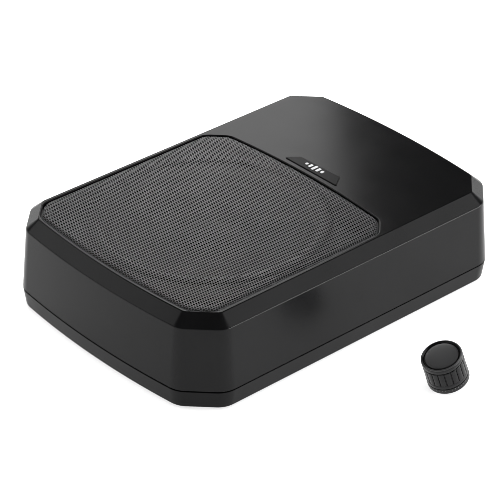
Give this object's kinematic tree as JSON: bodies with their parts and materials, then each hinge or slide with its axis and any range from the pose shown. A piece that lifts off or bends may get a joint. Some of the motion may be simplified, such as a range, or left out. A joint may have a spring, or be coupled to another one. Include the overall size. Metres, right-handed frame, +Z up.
{
  "type": "powered car subwoofer",
  "caption": "Low under-seat powered subwoofer with a perforated grille over a shallow driver, built-in amplifier, rear controls and a remote level dial.",
  "frame": {"origin": "centre of the four mounting inserts on the flat underside of the base pan", "axes": "+X along the length towards the control panel end, +Y across the body away from the remote, +Z up out of the grille"},
  "size_m": [0.35, 0.3479, 0.0821],
  "materials": {
    "shell_plastic": "satin moulded, very fine grain",
    "base_plastic": "matt moulded",
    "gasket_rubber": "matt foam rubber",
    "dark_steel": "black oxide",
    "insert_brass": "machined",
    "feet_rubber": "matt",
    "grille_steel": "satin powder coat on perforated sheet",
    "badge_plastic": "polished",
    "badge_metal": "bright",
    "basket_steel": "satin black paint",
    "surround_rubber": "matt",
    "cone_paper": "coated fibre pulp",
    "former_film": "amber film",
    "copper_wire": "enamelled copper",
    "spider_cloth": "resin-treated weave",
    "bare_steel": "zinc plated",
    "ferrite": "ground",
    "terminal_laminate": "laminate",
    "wire_insulation": "PVC",
    "board_laminate": "solder mask",
    "heatsink_alloy": "extruded",
    "chip_resin": "moulded resin",
    "capacitor_sleeve": "shrink sleeve",
    "transformer_tape": "tape",
    "pale_nylon": "nylon",
    "panel_plastic": "fine texture",
    "nickel": "nickel plated",
    "jack_plastic": "moulded",
    "socket_plastic": "moulded",
    "pin_brass": "plated",
    "fuse_plastic": "translucent amber",
    "led_lens": "blue lens",
    "pot_blue": "moulded",
    "knob_plastic": "moulded",
    "slider_plastic": "moulded",
    "remote_plastic": "moulded",
    "remote_knob_plastic": "semi-gloss",
    "ring_plastic": "gloss",
    "remote_cap_plastic": "satin with a bright rim"
  },
  "bodies": {
    "enclosure": {"top_shell": "shell_plastic", "base_pan": "base_plastic", "shell_gasket": "gasket_rubber", "base_screws": "dark_steel", "threaded_inserts": "insert_brass", "rubber_feet": "feet_rubber", "grille_mesh": "grille_steel", "grille_frame": "base_plastic", "badge": "badge_plastic", "badge_bars": "badge_metal", "driver_basket": "basket_steel", "driver_gasket": "gasket_rubber", "driver_screws": "dark_steel", "surround": "surround_rubber", "spider": "spider_cloth", "top_plate": "bare_steel", "magnet": "ferrite", "yoke": "bare_steel", "terminal_block": "terminal_laminate", "tinsel_leads": "copper_wire", "speaker_wires": "wire_insulation", "amp_board": "board_laminate", "board_standoffs": "insert_brass", "heatsink": "heatsink_alloy", "transistors": "chip_resin", "inductor": "copper_wire", "capacitors": "capacitor_sleeve", "transformer": "transformer_tape", "speaker_header": "pale_nylon", "control_board": "board_laminate", "control_panel": "panel_plastic", "panel_screws": "dark_steel", "rca_jacks": "nickel", "rca_insulators": "jack_plastic", "remote_socket": "socket_plastic", "signal_socket": "pale_nylon", "power_socket": "socket_plastic", "socket_pins": "pin_brass", "fuse_holder": "socket_plastic", "status_led": "led_lens", "pot_bodies": "pot_blue", "switch_bodies": "nickel"},
    "cone_assembly": {"cone": "cone_paper", "dust_cap": "cone_paper", "coil_former": "former_film", "voice_coil": "copper_wire"},
    "gain_control": {"gain_knob": "knob_plastic"},
    "crossover_control": {"crossover_knob": "knob_plastic"},
    "boost_control": {"boost_knob": "knob_plastic"},
    "phase_slider": {"phase_switch": "slider_plastic"},
    "sense_slider": {"sense_switch": "slider_plastic"},
    "remote_body": {"remote_housing": "remote_plastic", "remote_board": "board_laminate", "remote_encoder": "nickel"},
    "remote_dial": {"remote_shaft": "nickel", "remote_knob": "remote_knob_plastic", "remote_ring": "ring_plastic", "remote_cap": "remote_cap_plastic"},
    "fuse_body": {"fuse": "fuse_plastic"}
  },
  "joints": [
    {"name": "cone_stroke", "type": "slide", "parent": "enclosure", "child": "cone_assembly", "axis": [0, 0, 1], "range_m": [-0.005, 0.005], "stiffness_N_per_m": 1500, "deforming": ["surround", "spider", "tinsel_leads"]},
    {"name": "gain_turn", "type": "hinge", "parent": "enclosure", "child": "gain_control", "pos_m": [0.163, -0.06, 0.0545], "axis": [1, 0, 0], "range_deg": [-135, 135]},
    {"name": "crossover_turn", "type": "hinge", "parent": "enclosure", "child": "crossover_control", "pos_m": [0.163, -0.036, 0.0545], "axis": [1, 0, 0], "range_deg": [-135, 135]},
    {"name": "boost_turn", "type": "hinge", "parent": "enclosure", "child": "boost_control", "pos_m": [0.163, -0.012, 0.0545], "axis": [1, 0, 0], "range_deg": [-135, 135]},
    {"name": "phase_slide", "type": "slide", "parent": "enclosure", "child": "phase_slider", "axis": [0, 1, 0], "range_m": [0, 0.003]},
    {"name": "sense_slide", "type": "slide", "parent": "enclosure", "child": "sense_slider", "axis": [0, 1, 0], "range_m": [0, 0.003]},
    {"name": "fuse_pull", "type": "slide", "parent": "enclosure", "child": "fuse_body", "axis": [1, 0, 0], "range_m": [0, 0.025]},
    {"name": "remote_lift", "type": "slide", "parent": "enclosure", "child": "remote_body", "axis": [0, 0, 1], "range_m": [0, 0.15]},
    {"name": "remote_turn", "type": "hinge", "parent": "remote_body", "child": "remote_dial", "pos_m": [0.0109, -0.20758, 0.00909], "axis": [-0.333, 0.0409, 0.9421], "range_deg": [-140, 140]}
  ]
}
